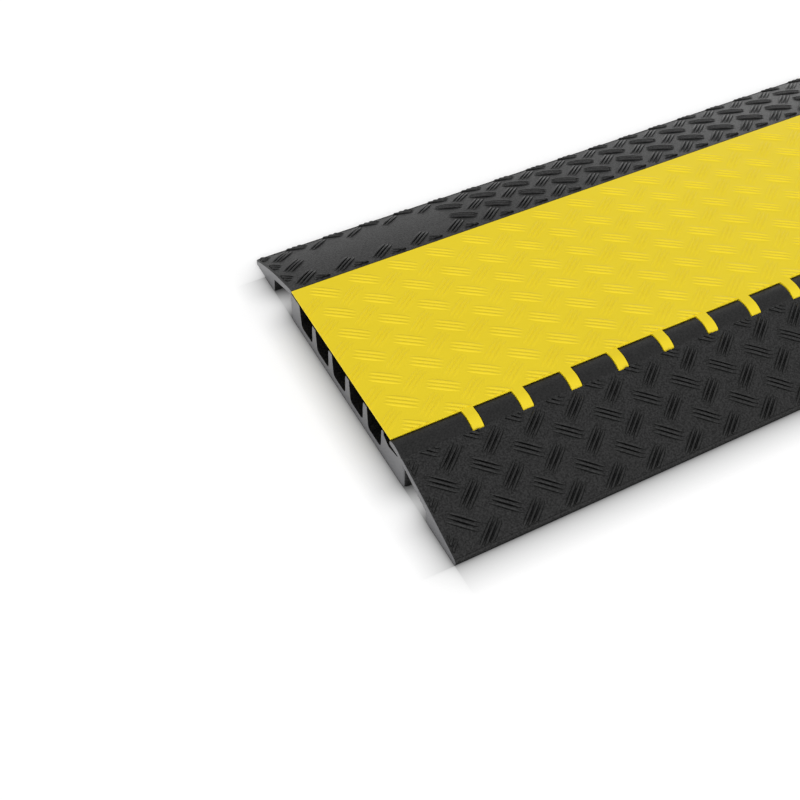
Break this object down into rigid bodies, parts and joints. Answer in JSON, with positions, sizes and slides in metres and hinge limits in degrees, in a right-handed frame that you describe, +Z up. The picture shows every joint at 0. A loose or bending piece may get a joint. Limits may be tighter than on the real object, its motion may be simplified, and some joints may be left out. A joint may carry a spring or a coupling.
{
  "type": "cable protector ramp",
  "caption": "Low black cable protector ramp with a yellow hinged tread lid over parallel cable channels, sloped ramps on both long sides and open pockets under the ramp ends.",
  "frame": {"origin": "middle of the footprint, on the floor", "axes": "+X along the ramp and its channels, +Y across it from the hinge side towards the rear, +Z up"},
  "size_m": [0.925, 0.508, 0.048],
  "materials": {
    "black_moulding": "black moulded polyurethane with a fine grained, faintly glossy skin",
    "yellow_moulding": "signal yellow moulded polyurethane, satin",
    "glass_fibre_rod": "plain pultruded glass fibre rod",
    "black_plug": "black moulded plug"
  },
  "bodies": {
    "base": {"base": "black_moulding", "hinge_rod": "glass_fibre_rod", "rod_plug": "black_plug"},
    "lid": {"lid": "yellow_moulding"}
  },
  "joints": [
    {"name": "lid_hinge", "type": "hinge", "parent": "base", "child": "lid", "pos_m": [0, -0.1275, 0.0375], "axis": [1, 0, 0], "range_deg": [0, 110]}
  ]
}
